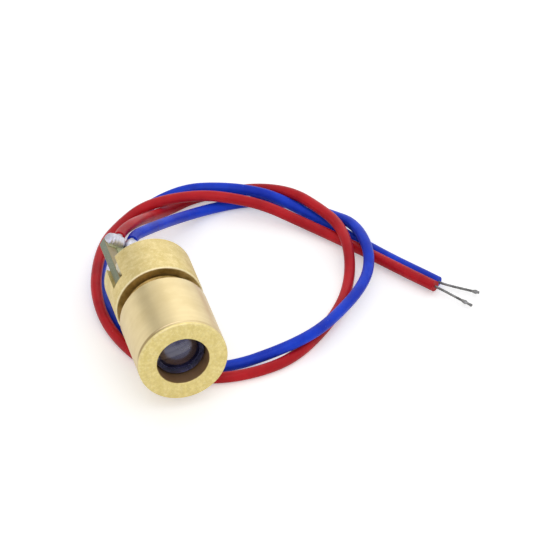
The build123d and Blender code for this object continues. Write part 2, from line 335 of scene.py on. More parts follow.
def arc(middle_radius, middle_depth, size, start, end, steps=5):
    """Pairs of radius and depth round a turned edge, between two angles in degrees."""
    pairs = []
    for step in range(steps + 1):
        angle = math.radians(start + (end - start) * step / steps)
        pairs.append((middle_radius + size * math.cos(angle), middle_depth + size * math.sin(angle)))
    return pairs


def dome(foot_radius, foot_depth, height, steps=20):
    """Pairs from near a dome's top to its foot; a negative height makes a dome that faces back."""
    rise = abs(height)
    sphere = (foot_radius**2 + rise**2) / (2 * rise)
    half_angle = math.asin(foot_radius / sphere)
    pairs = []
    for step in range(1, steps + 1):
        angle = half_angle * step / steps
        above_foot = rise - sphere * (1 - math.cos(angle))
        pairs.append((sphere * math.sin(angle), foot_depth - math.copysign(above_foot, height)))
    return pairs


def turn(profile):
    """Turn a closed shape on the optical axis, through pairs of radius and depth."""
    deselect()
    radius, depth = profile[0]
    bpy.ops.mesh.primitive_circle_add(
        vertices=turned_facets,
        radius=radius,
        location=(0, depth, 0),
        rotation=(math.radians(90), 0, 0),
    )
    piece = bpy.context.object
    apply_place()
    bpy.ops.object.mode_set(mode="EDIT")
    bpy.ops.mesh.select_all(action="SELECT")
    for next_radius, next_depth in profile[1:]:
        move = (0, next_depth - depth, 0)
        bpy.ops.mesh.extrude_region_move(TRANSFORM_OT_translate={"value": move})
        growth = next_radius / radius
        bpy.ops.transform.resize(value=(growth, 1, growth), center_override=(0, next_depth, 0))
        radius, depth = next_radius, next_depth
    close_up()
    return piece


def close_up():
    """In edit mode, merge what meets, cap what is open, and turn all faces outwards."""
    bpy.ops.mesh.select_all(action="SELECT")
    bpy.ops.mesh.remove_doubles(threshold=0.0005)
    bpy.ops.mesh.select_mode(type="EDGE")
    bpy.ops.mesh.select_all(action="DESELECT")
    bpy.ops.mesh.select_non_manifold()
    bpy.ops.mesh.fill_holes(sides=0)
    bpy.ops.mesh.select_all(action="SELECT")
    bpy.ops.mesh.normals_make_consistent(inside=False)
    bpy.ops.object.mode_set(mode="OBJECT")


def trim(piece, place, direction):
    """Cut a piece with a plane, drop the side that the direction points to, and close the cut."""
    hold(piece)
    bpy.ops.object.mode_set(mode="EDIT")
    bpy.ops.mesh.select_all(action="SELECT")
    bpy.ops.mesh.bisect(plane_co=place, plane_no=direction, use_fill=True, clear_outer=True)
    bpy.ops.object.mode_set(mode="OBJECT")


def ball(place, size):
    """A squashed ball, the start of a blob."""
    deselect()
    bpy.ops.mesh.primitive_uv_sphere_add(segments=40, ring_count=20, radius=0.5, location=place)
    blob = bpy.context.object
    blob.scale = size
    apply_place()
    return blob


def taper(start, end, start_radius, end_radius):
    """A round taper between two points."""
    deselect()
    bpy.ops.mesh.primitive_cone_add(
        vertices=32,
        radius1=start_radius,
        radius2=end_radius,
        depth=(end - start).length,
        location=(start + end) / 2,
        rotation=(end - start).to_track_quat("Z", "Y").to_euler(),
    )
    apply_place()
    return bpy.context.object


def melt(pieces, voxel, rounds):
    """Flow several blobs into one smooth skin."""
    blob = join(pieces)
    finish_with(blob, "REMESH", mode="VOXEL", voxel_size=voxel)
    finish_with(blob, "SMOOTH", factor=0.5, iterations=rounds)
    return blob


# Materials


def feed_sockets(tree, node, feeds):
    """Feed a node's sockets with links or plain values."""
    for socket, value in feeds.items():
        if isinstance(value, bpy.types.NodeSocket):
            tree.links.new(value, node.inputs[socket])
        else:
            node.inputs[socket].default_value = value


def put(tree, kind, feeds, **choices):
    """Add a node, set its choices, and feed its sockets."""
    node = tree.nodes.new("ShaderNode" + kind)
    for choice, value in choices.items():
        setattr(node, choice, value)
    feed_sockets(tree, node, feeds)
    return node


def maths(tree, operation, first, second=0.0, limit=False):
    """One sum of two values."""
    feeds = {0: first, 1: second}
    return put(tree, "Math", feeds, operation=operation, use_clamp=limit).outputs[0]


def plus(tree, first, second, limit=False):
    """Two values added."""
    return maths(tree, "ADD", first, second, limit)


def times(tree, first, second, limit=False):
    """Two values multiplied."""
    return maths(tree, "MULTIPLY", first, second, limit)


def over_mm(tree, value):
    """Metres as millimetres, or patches per millimetre as patches per metre."""
    return maths(tree, "DIVIDE", value, MM)


def spread(tree, value, low, high, new_low=0.0, new_high=1.0):
    """Map a stretch of values smoothly to another."""
    old = {"Value": value, "From Min": low, "From Max": high}
    feeds = {**old, "To Min": new_low, "To Max": new_high}
    return put(tree, "MapRange", feeds, interpolation_type="SMOOTHSTEP").outputs[0]


def tint(tree, share, first, second):
    """Mix two colours by a share."""
    feeds = {0: share, 6: first, 7: second}
    return put(tree, "Mix", feeds, data_type="RGBA", clamp_factor=True).outputs[2]


def blend(tree, share, first, second):
    """Mix two values by a share."""
    return put(tree, "Mix", {0: share, 2: first, 3: second}).outputs[0]


def long_side(tree, first, second, third):
    """The length of a line with these three sides at right angles."""
    corner = put(tree, "CombineXYZ", {0: first, 1: second, 2: third}).outputs[0]
    return put(tree, "VectorMath", {0: corner}, operation="LENGTH").outputs["Value"]


def towards(tree, direction, target):
    """How closely a direction points at a target direction."""
    feeds = {0: direction, 1: target}
    return put(tree, "VectorMath", feeds, operation="DOT_PRODUCT").outputs["Value"]


def cloud(tree, place, patches, detail, roughness=0.5):
    """Cloudy noise, with its scale in patches per metre."""
    feeds = {"Vector": place, "Scale": patches, "Detail": detail, "Roughness": roughness}
    return put(tree, "TexNoise", feeds).outputs["Fac"]


def noise(tree, place, patches, detail=3.0, roughness=0.5):
    """Cloudy noise, with its scale in patches per millimetre."""
    return cloud(tree, place, patches / MM, detail, roughness)


def bands(tree, along, scale, detail):
    """Noise that varies along one line only."""
    feeds = {"W": along, "Scale": scale, "Detail": detail}
    return put(tree, "TexNoise", feeds, noise_dimensions="1D").outputs["Fac"]


def new_group(name, takes, gives):
    """A shared effect, with its place on the piece, its other named inputs and its outputs."""
    group = bpy.data.node_groups.new(name, "ShaderNodeTree")
    group.interface.new_socket("Place", in_out="INPUT", socket_type="NodeSocketVector")
    for label, value in takes.items():
        kind = "Color" if isinstance(value, tuple) else "Float"
        socket = group.interface.new_socket(label, in_out="INPUT", socket_type="NodeSocket" + kind)
        socket.default_value = value
    for label in gives:
        kind = "Color" if label == "Color" else "Float"
        group.interface.new_socket(label, in_out="OUTPUT", socket_type="NodeSocket" + kind)
    start = group.nodes.new("NodeGroupInput")
    end = group.nodes.new("NodeGroupOutput")
    return group, start.outputs, end


def use_group(tree, group, feeds):
    """Place a shared effect in a material with its own values."""
    node = tree.nodes.new("ShaderNodeGroup")
    node.node_tree = group
    feed_sockets(tree, node, feeds)
    return node.outputs


def make_turned_place():
    """Distance from the axis, depth from the front face, and angle from the top in degrees."""
    group, takes, end = new_group("turned_place", {}, ["Radius", "Depth", "Angle"])
    parts = put(group, "SeparateXYZ", {0: takes["Place"]}).outputs
    distance = long_side(group, parts[0], 0.0, parts[2])
    angle = maths(group, "ARCTAN2", parts[0], parts[2])
    gives = {
        "Radius": over_mm(group, distance),
        "Depth": over_mm(group, parts[1]),
        "Angle": times(group, angle, math.degrees(1)),
    }
    feed_sockets(group, end, gives)
    return group


def make_turning_marks():
    """The lathe tool's fine rings: lines round the axis on sides and faces alike."""
    takes = {"Radius": 0.0, "Depth": 0.0, "Lines": 20.0}
    group, takes, end = new_group("turning_marks", takes, ["Height", "Streak"])
    along = plus(group, takes["Radius"], takes["Depth"])
    wander = times(group, noise(group, takes["Place"], 0.6), 0.03)
    along = plus(group, along, wander)
    fine = bands(group, along, takes["Lines"], 4.0)
    broad = bands(group, along, times(group, takes["Lines"], 0.2), 2.0)
    feed_sockets(group, end, {"Height": fine, "Streak": spread(group, broad, 0.35, 0.65)})
    return group


def make_sandy_grain():
    """The matt, sandy skin of coarsely cut brass: pits, and flecks that catch the light, painted
    pale as painted glints.
    """
    group, takes, end = new_group("sandy_grain", {"Grains": 10.0}, ["Height", "Glint fleck", "Shade"])
    scale = over_mm(group, takes["Grains"])
    fine = cloud(group, takes["Place"], scale, 4.0, 0.6)
    cells = put(group, "TexVoronoi", {"Vector": takes["Place"], "Scale": scale})
    pit = spread(group, cells.outputs["Distance"], 0.0, 0.5)
    hue = put(group, "SeparateColor", {0: cells.outputs["Color"]}).outputs[0]
    coarse = cloud(group, takes["Place"], times(group, scale, 0.28), 3.0)
    gives = {
        "Height": plus(group, times(group, pit, 0.4), fine),
        "Glint fleck": spread(group, hue, 0.82, 0.95),
        "Shade": spread(group, coarse, 0.32, 0.68),
    }
    feed_sockets(group, end, gives)
    return group


def make_rim_wear_and_highlight():
    """Bright wear and painted highlight on the two outer edges of a turned piece."""
    takes = {"Radius": 0.0, "Depth": 0.0, "Front edge": 0.0, "Back edge": 1.0, "Width": 0.15}
    group, takes, end = new_group("rim_wear_and_highlight", takes, ["Wear and highlight"])
    front = maths(group, "ABSOLUTE", maths(group, "SUBTRACT", takes["Depth"], takes["Front edge"]))
    back = maths(group, "ABSOLUTE", maths(group, "SUBTRACT", takes["Depth"], takes["Back edge"]))
    nearer = maths(group, "MINIMUM", front, back)
    inward = maths(group, "SUBTRACT", barrel_radius, takes["Radius"])
    distance = long_side(group, nearer, inward, 0.0)
    ragged = times(group, noise(group, takes["Place"], 5.0, detail=4.0), takes["Width"])
    near = maths(group, "DIVIDE", plus(group, distance, ragged), takes["Width"])
    feed_sockets(group, end, {"Wear and highlight": spread(group, near, 1.45, 0.7)})
    return group


def make_mottle():
    """Slow drift between two shades, as handling and tarnish leave it."""
    takes = {"Patches": 1.0, "Light": (1, 1, 1, 1), "Dark": (0.5, 0.5, 0.5, 1)}
    group, takes, end = new_group("mottle", takes, ["Color", "Share"])
    patches = cloud(group, takes["Place"], over_mm(group, takes["Patches"]), 5.0, 0.6)
    share = spread(group, patches, 0.35, 0.68)
    colour = tint(group, share, takes["Light"], takes["Dark"])
    feed_sockets(group, end, {"Color": colour, "Share": share})
    return group


def make_lint():
    """Small pale specks of dust that cling to soft and sticky surfaces."""
    group, takes, end = new_group("lint", {"Specks": 4.0, "Size": 0.1}, ["Mask"])
    feeds = {"Vector": takes["Place"], "Scale": over_mm(group, takes["Specks"])}
    cells = put(group, "TexVoronoi", feeds)
    dot = maths(group, "LESS_THAN", cells.outputs["Distance"], takes["Size"])
    chance = put(group, "SeparateColor", {0: cells.outputs["Color"]}).outputs[1]
    kept = maths(group, "GREATER_THAN", chance, 0.7)
    feed_sockets(group, end, {"Mask": times(group, dot, kept)})
    return group


turned_place = make_turned_place()
turning_marks = make_turning_marks()
sandy_grain = make_sandy_grain()
rim_wear_and_highlight = make_rim_wear_and_highlight()
mottle = make_mottle()
lint = make_lint()


def drift(tree, place, patches, light, dark):
    """Two shades that drift into each other, and the share of the dark one."""
    feeds = {"Place": place, "Patches": patches, "Light": (*light, 1), "Dark": (*dark, 1)}
    return use_group(tree, mottle, feeds)


def dust(tree, place, specks, size):
    """A mask of dust specks, so many to the millimetre."""
    return use_group(tree, lint, {"Place": place, "Specks": specks, "Size": size})["Mask"]


def new_material(name, **values):
    """A material with its Principled BSDF set, and the place on the piece for its patterns."""
    material = bpy.data.materials.new(name)
    material.use_nodes = True
    tree = material.node_tree
    surface = tree.nodes["Principled BSDF"]
    for socket, value in values.items():
        surface.inputs[socket.replace("_", " ")].default_value = value
    place = put(tree, "TexCoord", {}).outputs["Object"]
    return material, tree, surface, place


def feed(tree, surface, **links):
    """Link outputs to the surface's sockets."""
    for socket, output in links.items():
        tree.links.new(output, surface.inputs[socket.replace("_", " ")])


def bump(tree, surface, height, depth):
    """Raise the surface by a height, with its depth in millimetres."""
    node = put(tree, "Bump", {"Height": height, "Distance": depth * MM, "Strength": 1.0})
    tree.links.new(node.outputs[0], surface.inputs["Normal"])


def turned_skin(tree, place, lines, front_edge, back_edge, wear_and_highlight_width):
    """What both brass pieces share: place on the lathe, tool marks, sandy grain, and edge wear with
    painted highlight.
    """
    where = use_group(tree, turned_place, {"Place": place})
    spot = {"Place": place, "Radius": where["Radius"], "Depth": where["Depth"]}
    marks = use_group(tree, turning_marks, {**spot, "Lines": lines})
    grain = use_group(tree, sandy_grain, {"Place": place, "Grains": 14.0})
    edges = {"Front edge": front_edge, "Back edge": back_edge, "Width": wear_and_highlight_width}
    wear_and_highlight = use_group(tree, rim_wear_and_highlight, {**spot, **edges})["Wear and highlight"]
    return where, marks, grain, wear_and_highlight


# Painted glints: the flecks' pale colour
glint_fleck_colour = (0.92, 0.84, 0.52, 1)
# Wear and painted highlight: the rims' pale colour
worn_highlight_colour = (0.95, 0.87, 0.6, 1)


def make_front_brass():
    """Satin turned side, sandy front ring, and a bore that the light hardly reaches, its brown
    painted darker as painted shade.
    """
    material, tree, surface, place = new_material("front_brass", Metallic=1.0)
    where, marks, grain, wear_and_highlight = turned_skin(tree, place, 9.0, 0.0, sleeve_length, 0.14)
    radius, depth, angle = where["Radius"], where["Depth"], where["Angle"]
    satin = drift(tree, place, 0.5, (0.83, 0.68, 0.38), (0.76, 0.61, 0.32))["Color"]
    sandy = drift(tree, place, 2.2, (0.88, 0.75, 0.34), (0.77, 0.64, 0.25))["Color"]
    side = tint(tree, times(tree, marks["Streak"], 0.25), satin, (0.74, 0.6, 0.32, 1))
    face = tint(tree, times(tree, grain["Shade"], 0.45), sandy, (0.66, 0.52, 0.19, 1))
    # Painted glints: pale flecks on the front ring
    face = tint(tree, times(tree, grain["Glint fleck"], 0.3), face, glint_fleck_colour)
    ring = spread(tree, depth, 0.2, 0.1)
    colour = tint(tree, ring, side, face)
    # Wear and painted highlight: the rims are tinted pale
    colour = tint(tree, times(tree, wear_and_highlight, 0.2), colour, worn_highlight_colour)
    # Painted shade in the fine step behind the ring, most of it at the upper left
    left = times(tree, spread(tree, angle, -88.0, -62.0), spread(tree, angle, -24.0, -48.0))
    painted_seam_shade = times(tree, spread(tree, depth, 0.12, 0.2), spread(tree, depth, 0.52, 0.36))
    painted_seam_shade = times(tree, painted_seam_shade, plus(tree, 0.2, left), limit=True)
    colour = tint(tree, times(tree, painted_seam_shade, 0.75), colour, (0.3, 0.2, 0.07, 1))
    # Painted shade: the bore's wall is coloured a dark brown
    inside = spread(tree, radius, barrel_radius - 0.3, barrel_radius - 0.5)
    bored = times(tree, inside, spread(tree, depth, 0.03, 0.1))
    colour = tint(tree, times(tree, bored, 0.93), colour, (0.62, 0.4, 0.2, 1))
    smooth = plus(tree, 0.32, times(tree, marks["Streak"], 0.06))
    rough = plus(tree, 0.44, times(tree, grain["Height"], 0.1))
    roughness = blend(tree, maths(tree, "MAXIMUM", ring, bored), smooth, rough)
    feed(tree, surface, Base_Color=colour, Roughness=roughness)
    mark_depth = maths(tree, "SUBTRACT", 0.12, times(tree, bored, 0.12))
    fine = times(tree, marks["Height"], mark_depth)
    bump(tree, surface, blend(tree, ring, fine, grain["Height"]), 0.006)
    return material


def make_rear_brass():
    """Sandy skin outside, fine rings on the faces, and brass down in the groove painted dark: partly
    oil, partly painted shade.
    """
    material, tree, surface, place = new_material("rear_brass", Metallic=1.0)
    where, marks, grain, wear_and_highlight = turned_skin(tree, place, 8.0, flange_front, rear_end, 0.16)
    sandy = drift(tree, place, 1.4, (0.84, 0.7, 0.36), (0.72, 0.58, 0.25))["Color"]
    colour = tint(tree, times(tree, grain["Shade"], 0.45), sandy, (0.64, 0.5, 0.19, 1))
    colour = tint(tree, times(tree, marks["Streak"], 0.2), colour, (0.62, 0.5, 0.2, 1))
    # Painted glints: pale flecks on the rear body
    colour = tint(tree, times(tree, grain["Glint fleck"], 0.3), colour, glint_fleck_colour)
    # Wear and painted highlight: the rims are tinted pale
    colour = tint(tree, times(tree, wear_and_highlight, 0.5), colour, worn_highlight_colour)
    # Partly oil, partly painted shade: the groove and the flange's front face are coloured dark
    inner = spread(tree, where["Radius"], barrel_radius - 0.05, barrel_radius - 0.15)
    front = spread(tree, where["Depth"], flange_front + 0.1, flange_front)
    groove = times(tree, inner, front)
    oil_and_painted_shade = drift(tree, place, 0.7, (0.6, 0.43, 0.16), (0.26, 0.17, 0.04))["Color"]
    colour = tint(tree, times(tree, groove, 0.92), colour, oil_and_painted_shade)
    rough = plus(tree, 0.4, times(tree, grain["Height"], 0.12))
    feed(tree, surface, Base_Color=colour, Roughness=rough)
    height = plus(tree, grain["Height"], times(tree, marks["Height"], 0.3))
    bump(tree, surface, height, 0.006)
    return material


def make_lens_glass():
    """Smoky moulded glass, a violet bloom of coating on its upper left, and a few specks."""
    material, tree, surface, place = new_material(
        "lens_glass",
        Base_Color=(0.04, 0.045, 0.07, 1),
        Metallic=0.0,
        IOR=1.7,
        Transmission_Weight=1.0,
        Specular_Tint=(0.45, 0.42, 1.0, 1),
        Coat_Roughness=0.3,
        Coat_IOR=2.2,
        Coat_Tint=(0.9, 0.88, 1.0, 1),
    )
    haze = drift(tree, place, 0.9, (1, 1, 1), (0, 0, 0))["Share"]
    rough = plus(tree, 0.16, times(tree, haze, 0.12))
    rough = plus(tree, rough, times(tree, dust(tree, place, 3.0, 0.08), 0.3))
    parts = put(tree, "SeparateXYZ", {0: place}).outputs
    across = over_mm(tree, parts[0])
    above = over_mm(tree, parts[2])
    slant = plus(tree, above, times(tree, across, -0.4))
    waver = times(tree, haze, 0.35)
    bloom = spread(tree, plus(tree, slant, waver), -0.75, 0.35)
    bloom = times(tree, bloom, spread(tree, plus(tree, above, waver), 1.3, 0.85))
    bloom = times(tree, bloom, spread(tree, across, 1.2, 0.6))
    wiped = bands(tree, slant, 2.6, 3.0)
    bloom = times(tree, bloom, spread(tree, wiped, 0.3, 0.65, 0.45, 1.0))
    coat = plus(tree, 0.02, times(tree, bloom, 0.8))
    feed(tree, surface, Roughness=rough, Coat_Weight=coat)
    return material


def square_to_board(tree, place):
    """The place on a piece in the board's own frame, across, along and above."""
    feeds = {"Vector": place, "Rotation": (0, -slot_tilt, 0)}
    square = put(tree, "Mapping", feeds, vector_type="POINT").outputs[0]
    return put(tree, "SeparateXYZ", {0: square}).outputs


def make_board_laminate():
    """Green mask on both faces, browned by flux, and the glass cloth of the cut edges."""
    material, tree, surface, place = new_material("board_laminate", Metallic=0.0)
    parts = square_to_board(tree, place)
    height = over_mm(tree, parts[2])
    across = over_mm(tree, parts[0])
    from_middle = maths(tree, "SUBTRACT", height, (board_top + board_bottom) / 2)
    skin = spread(tree, maths(tree, "ABSOLUTE", from_middle), 0.255, 0.275)
    layers = spread(tree, bands(tree, height, 14.0, 2.0), 0.4, 0.6)
    cloth = tint(tree, layers, (0.19, 0.24, 0.17, 1), (0.28, 0.3, 0.22, 1))
    fibres = noise(tree, place, 12.0, detail=5.0, roughness=0.7)
    cloth = tint(tree, spread(tree, fibres, 0.45, 0.75), cloth, (0.42, 0.42, 0.34, 1))
    mask = drift(tree, place, 1.0, (0.28, 0.3, 0.18), (0.15, 0.18, 0.09))["Color"]
    flux = spread(tree, noise(tree, place, 0.9), 0.5, 0.75, 0.0, 0.4)
    left_flux = spread(tree, across, -1.75, -2.15, 0.0, 0.7)
    mask = tint(tree, maths(tree, "MAXIMUM", flux, left_flux), mask, (0.42, 0.31, 0.15, 1))
    specks = times(tree, dust(tree, place, 5.0, 0.12), 0.3)
    rough = plus(tree, blend(tree, skin, 0.75, 0.32), specks, limit=True)
    feed(tree, surface, Base_Color=tint(tree, skin, cloth, mask), Roughness=rough)
    bump(tree, surface, fibres, 0.01)
    return material


def make_plain_metal(name, light, dark, patches, roughness, depth, metal=1.0):
    """Solder, tin, copper, gold and steel: two drifting shades, with soft dents."""
    material, tree, surface, place = new_material(name, Metallic=metal)
    shades = drift(tree, place, patches, light, dark)
    rough = plus(tree, roughness, times(tree, shades["Share"], 0.22))
    feed(tree, surface, Base_Color=shades["Color"], Roughness=rough)
    bump(tree, surface, noise(tree, place, patches * 3), depth)
    return material


def make_adhesive():
    """Cream, slightly clear glue with a satin skin."""
    material, tree, surface, place = new_material(
        "adhesive",
        Metallic=0.0,
        Subsurface_Weight=0.3,
        Subsurface_Scale=0.2 * MM,
        Subsurface_Radius=(1.0, 0.8, 0.5),
    )
    shades = drift(tree, place, 1.6, (0.9, 0.86, 0.72), (0.76, 0.66, 0.45))
    specks = times(tree, dust(tree, place, 7.0, 0.12), 0.5)
    colour = tint(tree, specks, shades["Color"], (0.9, 0.88, 0.8, 1))
    rough = plus(tree, 0.3, times(tree, shades["Share"], 0.3))
    feed(tree, surface, Base_Color=colour, Roughness=rough)
    bump(tree, surface, noise(tree, place, 6.0), 0.02)
    return material


def make_ceramic():
    """The resistor: a black glaze on top of white ceramic."""
    material, tree, surface, place = new_material("resistor_ceramic", Metallic=0.0)
    height = over_mm(tree, square_to_board(tree, place)[2])
    glaze_foot = foil_top + glaze_height
    glaze = spread(tree, height, glaze_foot, glaze_foot + 0.03)
    white = drift(tree, place, 4.0, (0.78, 0.77, 0.73), (0.62, 0.6, 0.55))["Color"]
    black = drift(tree, place, 3.0, (0.012, 0.012, 0.014), (0.035, 0.033, 0.03))["Color"]
    colour = tint(tree, glaze, white, black)
    feed(tree, surface, Base_Color=colour, Roughness=blend(tree, glaze, 0.55, 0.28))
    bump(tree, surface, noise(tree, place, 10.0), 0.006)
    return material


def make_insulation(name, base, deep, pale):
    """Soft vinyl: a satin skin with slow waves, faint drag lines and a little dust."""
    material, tree, surface, place = new_material(name, Metallic=0.0, Specular_IOR_Level=0.16)
    shades = drift(tree, place, 0.35, base, deep)
    scuffs = noise(tree, place, 2.2, detail=5.0, roughness=0.65)
    scuffs = spread(tree, scuffs, 0.58, 0.72)
    colour = tint(tree, times(tree, scuffs, 0.2), shades["Color"], (*pale, 1))
    specks = dust(tree, place, 2.6, 0.09)
    colour = tint(tree, times(tree, specks, 0.12), colour, (0.75, 0.72, 0.7, 1))
    rough = plus(tree, 0.36, times(tree, scuffs, 0.18))
    rough = plus(tree, rough, times(tree, specks, 0.2))
    feed(tree, surface, Base_Color=colour, Roughness=rough)
    waves = times(tree, noise(tree, place, 1.1, detail=2.0), 2.0)
    bump(tree, surface, plus(tree, noise(tree, place, 9.0), waves), 0.006)
    return material


front_brass = make_front_brass()
rear_brass = make_rear_brass()
lens_glass = make_lens_glass()
board_laminate = make_board_laminate()
adhesive = make_adhesive()
resistor_ceramic = make_ceramic()
red_vinyl = make_insulation(
    "red_vinyl", (0.58, 0.014, 0.022), (0.42, 0.008, 0.015), (0.68, 0.05, 0.06)
)
blue_vinyl = make_insulation(
    "blue_vinyl", (0.01, 0.06, 0.72), (0.007, 0.032, 0.5), (0.03, 0.15, 0.82)
)

# Light shade, dark shade, patches per millimetre, least roughness, depth of dents, and metal
metal_values = {
    # Painted reflection: the solder's two shades carry a violet tint
    "solder": [(0.74, 0.74, 0.82), (0.48, 0.48, 0.54), 1.5, 0.34, 0.004],
    "tinned_copper": [(0.34, 0.34, 0.33), (0.17, 0.17, 0.16), 1.6, 0.42, 0.004],
    "foil_copper": [(0.5, 0.52, 0.3), (0.32, 0.36, 0.18), 2.0, 0.3, 0.004, 0.6],
    "terminal_tin": [(0.78, 0.78, 0.8), (0.6, 0.6, 0.62), 4.0, 0.28, 0.006],
    "block_copper": [(0.9, 0.55, 0.38), (0.62, 0.34, 0.22), 1.5, 0.3, 0.008],
    "chip_dark": [(0.12, 0.12, 0.15), (0.3, 0.28, 0.2), 6.0, 0.15, 0.002, 0.7],
    "bond_gold": [(0.98, 0.76, 0.32), (0.8, 0.58, 0.22), 8.0, 0.15, 0.001],
    "spring_steel": [(0.62, 0.62, 0.62), (0.42, 0.41, 0.4), 2.5, 0.25, 0.005],
}
metals = {name: make_plain_metal(name, *values) for name, values in metal_values.items()}

# CAD pieces that show as they are, under each material
for material, nodes in (
    (metals["spring_steel"], ["lens_spring"]),
    (metals["foil_copper"], ["positive_track", "supply_track", "cathode_track"]),
    (metals["block_copper"], ["diode_heat_sink"]),
    (metals["solder"], ["heat_sink_solder", "resistor_front_solder", "resistor_rear_solder"]),
    (metals["chip_dark"], ["laser_chip"]),
    (metals["bond_gold"], ["bond_wire"]),
    (metals["terminal_tin"], ["resistor_front_terminal", "resistor_rear_terminal"]),
    (metals["tinned_copper"], ["red_board_strand", "blue_board_strand"]),
    (resistor_ceramic, ["drive_resistor"]),
):
    for node in nodes:
        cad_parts[node].data.materials[0] = material


# Leads and their bare ends


def show(name, curve):
    """Put a curve in the scene."""
    piece = bpy.data.objects.new(name, curve)
    bpy.context.scene.collection.objects.link(piece)
    return piece


def spline(name, points):
    """A smooth line with these points, in millimetres, as its control points."""
    curve = bpy.data.curves.new(name, "CURVE")
    curve.dimensions = "3D"
    line = curve.splines.new("NURBS")
    line.points.add(len(points) - 1)
    for point, place in zip(line.points, points):
        point.co = (place[0] * MM, place[1] * MM, place[2] * MM, 1)
    line.order_u = 3
    line.use_endpoint_u = True
    line.resolution_u = 12
    return show(name, curve)


def follow(name, points):
    """Close steps along a smooth line, in millimetres, and how far along it each one lies."""
    guide = spline(name, points)
    guide.data.splines[0].resolution_u = 40
    bpy.context.view_layer.update()
    line = bpy.data.meshes.new_from_object(guide)
    steps = [vertex.co / MM for vertex in line.vertices]
    bpy.data.objects.remove(guide)
    bpy.data.meshes.remove(line)
    reach = [0.0]
    for before, after in zip(steps, steps[1:]):
        reach.append(reach[-1] + (after - before).length)
    return steps, reach


def make_strand(name, steps, reach, number, loose):
    """One strand: it winds round the line and frays at the end, or runs down the middle."""
    curve = bpy.data.curves.new(name, "CURVE")
    curve.dimensions = "3D"
    run = curve.splines.new("POLY")
    run.points.add(len(steps) - 1)
    for index, place in enumerate(steps):
        ahead = steps[min(index + 1, len(steps) - 1)] - steps[max(index - 1, 0)]
        ahead.normalize()
        across = ahead.cross(Vector((0, 0, 1))).normalized()
        above = across.cross(ahead)
        start_angle = math.radians(360 / outer_strands * number)
        angle = start_angle + 2 * math.pi * reach[index] / strand_pitch
        fray = max(0.0, reach[index] / reach[-1] - fray_start) * loose
        offset = 2 * strand_radius * (1 + fray * (1 + number % 3))
        if number == outer_strands:
            offset = 0.0
        point = place + across * offset * math.cos(angle) + above * offset * math.sin(angle)
        run.points[index].co = (*point, 1)
    curve.bevel_depth = strand_radius
    curve.bevel_resolution = 2
    curve.use_fill_caps = True
    hold(show(name, curve))
    bpy.ops.object.convert(target="MESH")
    return bpy.context.object


def make_twisted_end(name, node, points, blob_share, blob_length, loose):
    """Tinned strands twisted together, wetted by a blob of solder near their end."""
    steps, reach = follow(name + "_line", points)
    strands = []
    for number in range(outer_strands + 1):
        strands.append(make_strand(name, steps, reach, number, loose))
    blob_place = reach[-1] * blob_share
    index = min(range(len(steps)), key=lambda item: abs(reach[item] - blob_place))
    centre = steps[index]
    ahead = (centre - steps[index - 1]).normalized()
    blob_radius = 0.15
    blob_start = centre - ahead * blob_length
    blob_tip = centre + ahead * blob_length * 0.7
    lobes = [
        taper(blob_start, centre, start_radius=0.09, end_radius=blob_radius),
        taper(centre, blob_tip, start_radius=blob_radius, end_radius=0.08),
        ball(centre, [2 * blob_radius] * 3),
    ]
    piece = join([melt(lobes, voxel=0.022, rounds=6)] + strands)
    tin = metals["tinned_copper"]
    return settle(piece, name, tin, node, smooth_angle=40)


def make_lead(name, node, route, material):
    """A lead's insulation: one smooth line through the route's control points."""
    lead = spline(name, route)
    lead.data.bevel_depth = lead_diameter / 2 * MM
    lead.data.bevel_resolution = 8
    lead.data.use_fill_caps = True
    lead.data.materials.append(material)
    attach(lead, "root")
    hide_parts(node)


# Brass


def make_front_sleeve():
    """The sleeve: a rounded front ring, a fine step behind it, the lens shoulder and the bore."""
    ring_middle = 2.3
    step_start = ring_edge_round + 0.1
    step_drop = 0.03
    step_floor = 0.06
    step_radius = barrel_radius - step_drop
    mouth_chamfer = 0.15
    side_rows = (3.4, 1.8)
    profile = [
        (aperture_radius, front_wall),
        (aperture_radius, aperture_round),
        *arc(aperture_radius + aperture_round, aperture_round, aperture_round, 180, 270, 3)[1:],
        (ring_middle, 0.0),
        *arc(barrel_radius - ring_edge_round, ring_edge_round, ring_edge_round, -90, 0, 6),
        (barrel_radius, step_start),
        (step_radius, step_start + step_drop),
        (step_radius, step_start + step_drop + step_floor),
        (barrel_radius, step_start + 2 * step_drop + step_floor),
        *[(barrel_radius, sleeve_length - row) for row in side_rows],
        *arc(barrel_radius - edge_round, sleeve_length - edge_round, edge_round, 0, 90),
        (sleeve_bore + mouth_chamfer, sleeve_length),
        (sleeve_bore, sleeve_length - mouth_chamfer),
        (sleeve_bore, front_wall),
        (aperture_radius, front_wall),
    ]
    settle(turn(profile), "front_sleeve", front_brass, "front_barrel")


